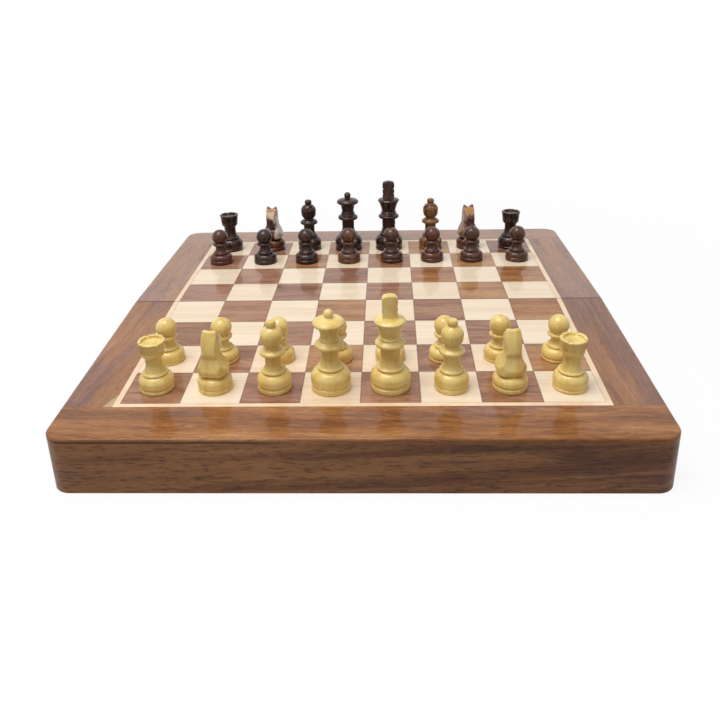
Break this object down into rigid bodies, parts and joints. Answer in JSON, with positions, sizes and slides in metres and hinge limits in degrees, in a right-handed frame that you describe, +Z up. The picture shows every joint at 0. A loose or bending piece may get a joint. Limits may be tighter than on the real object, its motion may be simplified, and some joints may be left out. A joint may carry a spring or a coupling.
{
  "type": "folding chess set",
  "caption": "Folding wooden chess board with inlaid squares, rounded lacquered rails, hidden hinges under the seam, felt-lined stores and turned chessmen set out on it.",
  "frame": {"origin": "on the table under the middle of the seam, with the board open", "axes": "+X along the seam to the players' right as seen from the light side, +Y from the front (light) half to the rear (dark) half, +Z up"},
  "size_m": [0.3078, 0.3114, 0.0866],
  "materials": {
    "rosewood": "lacquered",
    "plywood": "plain",
    "steel_sheet": "satin",
    "dark_inlay": "lacquered",
    "maple_inlay": "lacquered",
    "felt": "matte",
    "magnet": "polished",
    "brass": "polished",
    "pin_steel": "satin",
    "boxwood": "lacquered",
    "dark_rosewood": "lacquered"
  },
  "bodies": {
    "front_half": {"front_outer_rail": "rosewood", "front_left_rail": "rosewood", "front_right_rail": "rosewood", "front_seam_wall": "rosewood", "front_deck_panel": "plywood", "front_steel_sheet": "steel_sheet", "front_dark_squares": "dark_inlay", "front_light_squares": "maple_inlay", "front_stringing": "maple_inlay", "front_felt_lining": "felt", "front_closing_magnets": "magnet", "front_hinge_leaves": "brass", "front_hinge_screws": "brass", "hinge_pins": "pin_steel"},
    "rear_half": {"rear_outer_rail": "rosewood", "rear_left_rail": "rosewood", "rear_right_rail": "rosewood", "rear_seam_wall": "rosewood", "rear_deck_panel": "plywood", "rear_steel_sheet": "steel_sheet", "rear_dark_squares": "dark_inlay", "rear_light_squares": "maple_inlay", "rear_stringing": "maple_inlay", "rear_felt_lining": "felt", "rear_closing_magnets": "magnet", "rear_hinge_leaves": "brass", "rear_hinge_screws": "brass"},
    "white_rook_a1": {"white_rook_a1": "boxwood"},
    "white_knight_b1": {"white_knight_b1": "boxwood"},
    "white_bishop_c1": {"white_bishop_c1": "boxwood"},
    "white_queen_d1": {"white_queen_d1": "boxwood"},
    "white_king_e1": {"white_king_e1": "boxwood"},
    "white_bishop_f1": {"white_bishop_f1": "boxwood"},
    "white_knight_g1": {"white_knight_g1": "boxwood"},
    "white_rook_h1": {"white_rook_h1": "boxwood"},
    "white_pawn_a2": {"white_pawn_a2": "boxwood"},
    "white_pawn_b2": {"white_pawn_b2": "boxwood"},
    "white_pawn_c2": {"white_pawn_c2": "boxwood"},
    "white_pawn_d2": {"white_pawn_d2": "boxwood"},
    "white_pawn_e2": {"white_pawn_e2": "boxwood"},
    "white_pawn_f2": {"white_pawn_f2": "boxwood"},
    "white_pawn_g2": {"white_pawn_g2": "boxwood"},
    "white_pawn_h2": {"white_pawn_h2": "boxwood"},
    "black_pawn_a7": {"black_pawn_a7": "dark_rosewood"},
    "black_pawn_b7": {"black_pawn_b7": "dark_rosewood"},
    "black_pawn_c7": {"black_pawn_c7": "dark_rosewood"},
    "black_pawn_d7": {"black_pawn_d7": "dark_rosewood"},
    "black_pawn_e7": {"black_pawn_e7": "dark_rosewood"},
    "black_pawn_f7": {"black_pawn_f7": "dark_rosewood"},
    "black_pawn_g7": {"black_pawn_g7": "dark_rosewood"},
    "black_pawn_h7": {"black_pawn_h7": "dark_rosewood"},
    "black_rook_a8": {"black_rook_a8": "dark_rosewood"},
    "black_knight_b8": {"black_knight_b8": "dark_rosewood"},
    "black_bishop_c8": {"black_bishop_c8": "dark_rosewood"},
    "black_queen_d8": {"black_queen_d8": "dark_rosewood"},
    "black_king_e8": {"black_king_e8": "dark_rosewood"},
    "black_bishop_f8": {"black_bishop_f8": "dark_rosewood"},
    "black_knight_g8": {"black_knight_g8": "dark_rosewood"},
    "black_rook_h8": {"black_rook_h8": "dark_rosewood"}
  },
  "joints": [
    {"name": "fold", "type": "hinge", "parent": "front_half", "child": "rear_half", "pos_m": [0, 0, 0.0026], "axis": [-1, 0, 0], "range_deg": [0, 177.94]},
    {"name": "lift_white_rook_a1", "type": "slide", "parent": "front_half", "child": "white_rook_a1", "axis": [0, -0.0252, 0.9997], "range_m": [0, 0.06]},
    {"name": "lift_white_knight_b1", "type": "slide", "parent": "front_half", "child": "white_knight_b1", "axis": [0, -0.0252, 0.9997], "range_m": [0, 0.06]},
    {"name": "lift_white_bishop_c1", "type": "slide", "parent": "front_half", "child": "white_bishop_c1", "axis": [0, -0.0252, 0.9997], "range_m": [0, 0.06]},
    {"name": "lift_white_queen_d1", "type": "slide", "parent": "front_half", "child": "white_queen_d1", "axis": [0, -0.0252, 0.9997], "range_m": [0, 0.06]},
    {"name": "lift_white_king_e1", "type": "slide", "parent": "front_half", "child": "white_king_e1", "axis": [0, -0.0252, 0.9997], "range_m": [0, 0.06]},
    {"name": "lift_white_bishop_f1", "type": "slide", "parent": "front_half", "child": "white_bishop_f1", "axis": [0, -0.0252, 0.9997], "range_m": [0, 0.06]},
    {"name": "lift_white_knight_g1", "type": "slide", "parent": "front_half", "child": "white_knight_g1", "axis": [0, -0.0252, 0.9997], "range_m": [0, 0.06]},
    {"name": "lift_white_rook_h1", "type": "slide", "parent": "front_half", "child": "white_rook_h1", "axis": [0, -0.0252, 0.9997], "range_m": [0, 0.06]},
    {"name": "lift_white_pawn_a2", "type": "slide", "parent": "front_half", "child": "white_pawn_a2", "axis": [0, -0.0252, 0.9997], "range_m": [0, 0.06]},
    {"name": "lift_white_pawn_b2", "type": "slide", "parent": "front_half", "child": "white_pawn_b2", "axis": [0, -0.0252, 0.9997], "range_m": [0, 0.06]},
    {"name": "lift_white_pawn_c2", "type": "slide", "parent": "front_half", "child": "white_pawn_c2", "axis": [0, -0.0252, 0.9997], "range_m": [0, 0.06]},
    {"name": "lift_white_pawn_d2", "type": "slide", "parent": "front_half", "child": "white_pawn_d2", "axis": [0, -0.0252, 0.9997], "range_m": [0, 0.06]},
    {"name": "lift_white_pawn_e2", "type": "slide", "parent": "front_half", "child": "white_pawn_e2", "axis": [0, -0.0252, 0.9997], "range_m": [0, 0.06]},
    {"name": "lift_white_pawn_f2", "type": "slide", "parent": "front_half", "child": "white_pawn_f2", "axis": [0, -0.0252, 0.9997], "range_m": [0, 0.06]},
    {"name": "lift_white_pawn_g2", "type": "slide", "parent": "front_half", "child": "white_pawn_g2", "axis": [0, -0.0252, 0.9997], "range_m": [0, 0.06]},
    {"name": "lift_white_pawn_h2", "type": "slide", "parent": "front_half", "child": "white_pawn_h2", "axis": [0, -0.0252, 0.9997], "range_m": [0, 0.06]},
    {"name": "lift_black_pawn_a7", "type": "slide", "parent": "rear_half", "child": "black_pawn_a7", "axis": [0, 0.0252, 0.9997], "range_m": [0, 0.06]},
    {"name": "lift_black_pawn_b7", "type": "slide", "parent": "rear_half", "child": "black_pawn_b7", "axis": [0, 0.0252, 0.9997], "range_m": [0, 0.06]},
    {"name": "lift_black_pawn_c7", "type": "slide", "parent": "rear_half", "child": "black_pawn_c7", "axis": [0, 0.0252, 0.9997], "range_m": [0, 0.06]},
    {"name": "lift_black_pawn_d7", "type": "slide", "parent": "rear_half", "child": "black_pawn_d7", "axis": [0, 0.0252, 0.9997], "range_m": [0, 0.06]},
    {"name": "lift_black_pawn_e7", "type": "slide", "parent": "rear_half", "child": "black_pawn_e7", "axis": [0, 0.0252, 0.9997], "range_m": [0, 0.06]},
    {"name": "lift_black_pawn_f7", "type": "slide", "parent": "rear_half", "child": "black_pawn_f7", "axis": [0, 0.0252, 0.9997], "range_m": [0, 0.06]},
    {"name": "lift_black_pawn_g7", "type": "slide", "parent": "rear_half", "child": "black_pawn_g7", "axis": [0, 0.0252, 0.9997], "range_m": [0, 0.06]},
    {"name": "lift_black_pawn_h7", "type": "slide", "parent": "rear_half", "child": "black_pawn_h7", "axis": [0, 0.0252, 0.9997], "range_m": [0, 0.06]},
    {"name": "lift_black_rook_a8", "type": "slide", "parent": "rear_half", "child": "black_rook_a8", "axis": [0, 0.0252, 0.9997], "range_m": [0, 0.06]},
    {"name": "lift_black_knight_b8", "type": "slide", "parent": "rear_half", "child": "black_knight_b8", "axis": [0, 0.0252, 0.9997], "range_m": [0, 0.06]},
    {"name": "lift_black_bishop_c8", "type": "slide", "parent": "rear_half", "child": "black_bishop_c8", "axis": [0, 0.0252, 0.9997], "range_m": [0, 0.06]},
    {"name": "lift_black_queen_d8", "type": "slide", "parent": "rear_half", "child": "black_queen_d8", "axis": [0, 0.0252, 0.9997], "range_m": [0, 0.06]},
    {"name": "lift_black_king_e8", "type": "slide", "parent": "rear_half", "child": "black_king_e8", "axis": [0, 0.0252, 0.9997], "range_m": [0, 0.06]},
    {"name": "lift_black_bishop_f8", "type": "slide", "parent": "rear_half", "child": "black_bishop_f8", "axis": [0, 0.0252, 0.9997], "range_m": [0, 0.06]},
    {"name": "lift_black_knight_g8", "type": "slide", "parent": "rear_half", "child": "black_knight_g8", "axis": [0, 0.0252, 0.9997], "range_m": [0, 0.06]},
    {"name": "lift_black_rook_h8", "type": "slide", "parent": "rear_half", "child": "black_rook_h8", "axis": [0, 0.0252, 0.9997], "range_m": [0, 0.06]}
  ]
}
